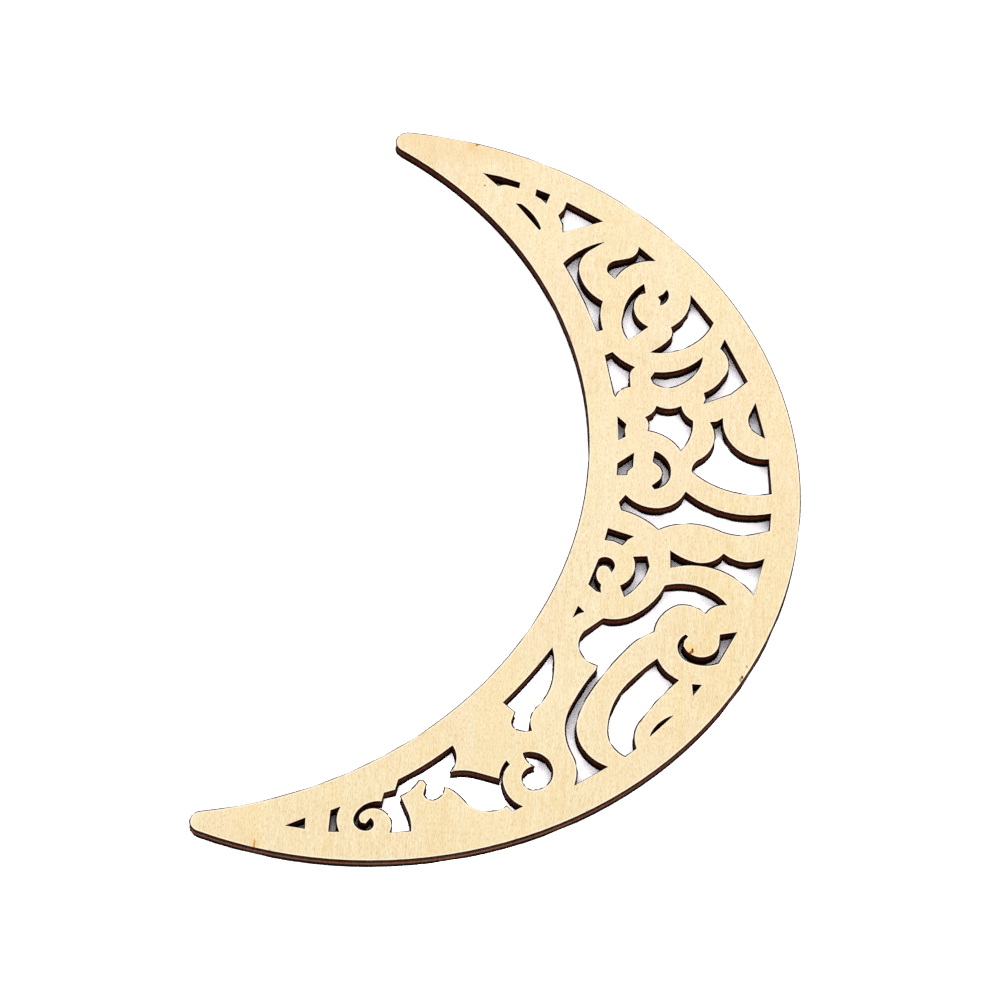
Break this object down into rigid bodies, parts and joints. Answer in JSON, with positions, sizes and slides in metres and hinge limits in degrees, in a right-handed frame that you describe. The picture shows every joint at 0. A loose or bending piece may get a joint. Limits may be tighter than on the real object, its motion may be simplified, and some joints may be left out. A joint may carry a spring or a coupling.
{
  "type": "crescent ornament",
  "caption": "Flat crescent of laser-cut plywood, pierced right through with a scroll fret, to lay, hang or glue on as a festive decoration.",
  "frame": {"origin": "on the back face, under the middle of the outline's box", "axes": "+Z out of the front face, +Y from the lower horn's tip to the upper one's, +X towards the bulge"},
  "size_m": [0.127, 0.2174, 0.003],
  "materials": {
    "front_veneer": "bare pale veneer with fine straight grain, cut edges charred",
    "core_ply": "bare ply, shown only by its charred cut edge",
    "back_veneer": "bare pale veneer, cut edges charred darkest"
  },
  "bodies": {
    "root": {"front_veneer": "front_veneer", "core_ply": "core_ply", "back_veneer": "back_veneer"}
  },
  "joints": []
}
